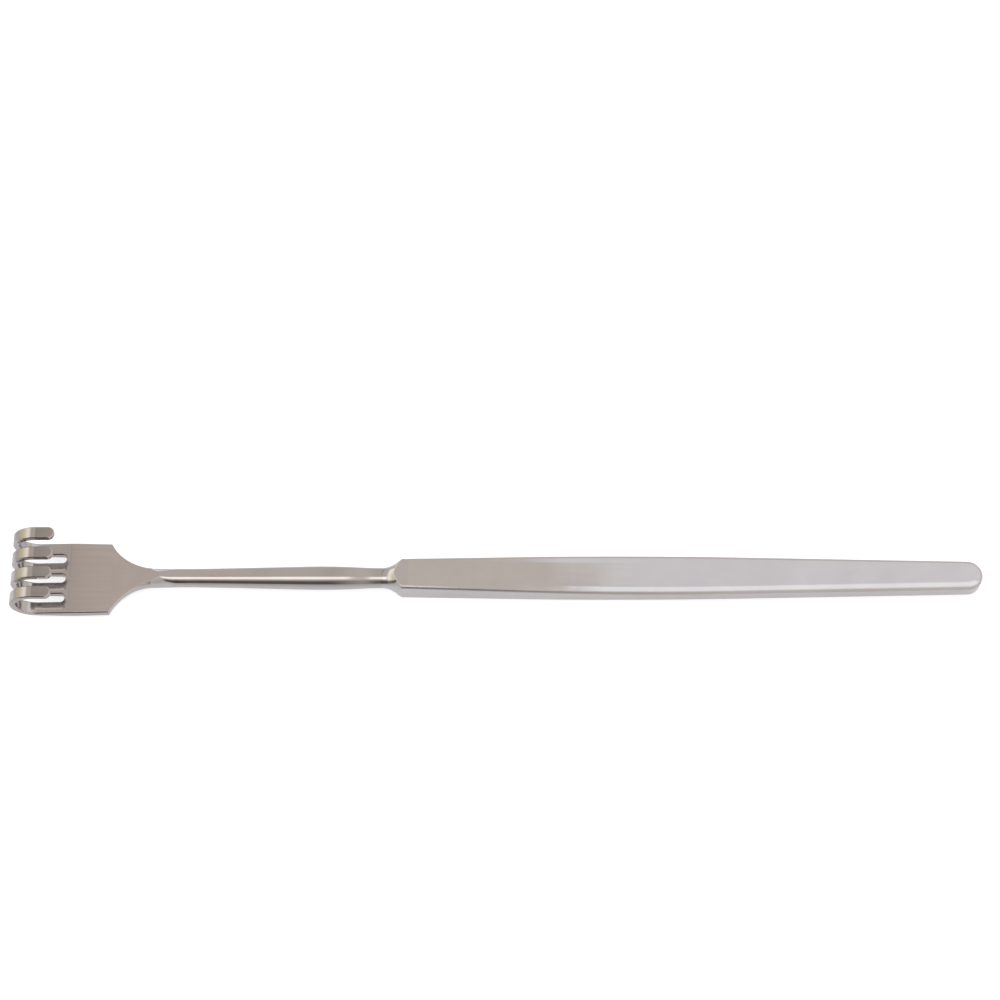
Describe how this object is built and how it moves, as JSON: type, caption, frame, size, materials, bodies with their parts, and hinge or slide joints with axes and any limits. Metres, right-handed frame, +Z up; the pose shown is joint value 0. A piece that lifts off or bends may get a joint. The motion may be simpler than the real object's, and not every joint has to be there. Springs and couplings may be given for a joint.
{
  "type": "eyelid retractor",
  "caption": "Hand-held surgical retractor: a flat tapered bar handle, a slim round neck, and a plate blade whose blunt prongs are bent up into hooks.",
  "frame": {"origin": "centre of the bounding box in X and Y, at the height of the lowest point of the handle's nose, on the surface that the retractor lies on", "axes": "+X along the instrument from the hooks to the handle's tail, +Y across the blade, +Z up, the side that the hooks stand up to"},
  "size_m": [0.16, 0.0124, 0.0093],
  "materials": {
    "blade_steel": "polished",
    "handle_steel": "polished",
    "braze_alloy": "satin"
  },
  "bodies": {
    "root": {"rake_blade": "blade_steel", "handle": "handle_steel", "braze_film": "braze_alloy"}
  },
  "joints": []
}
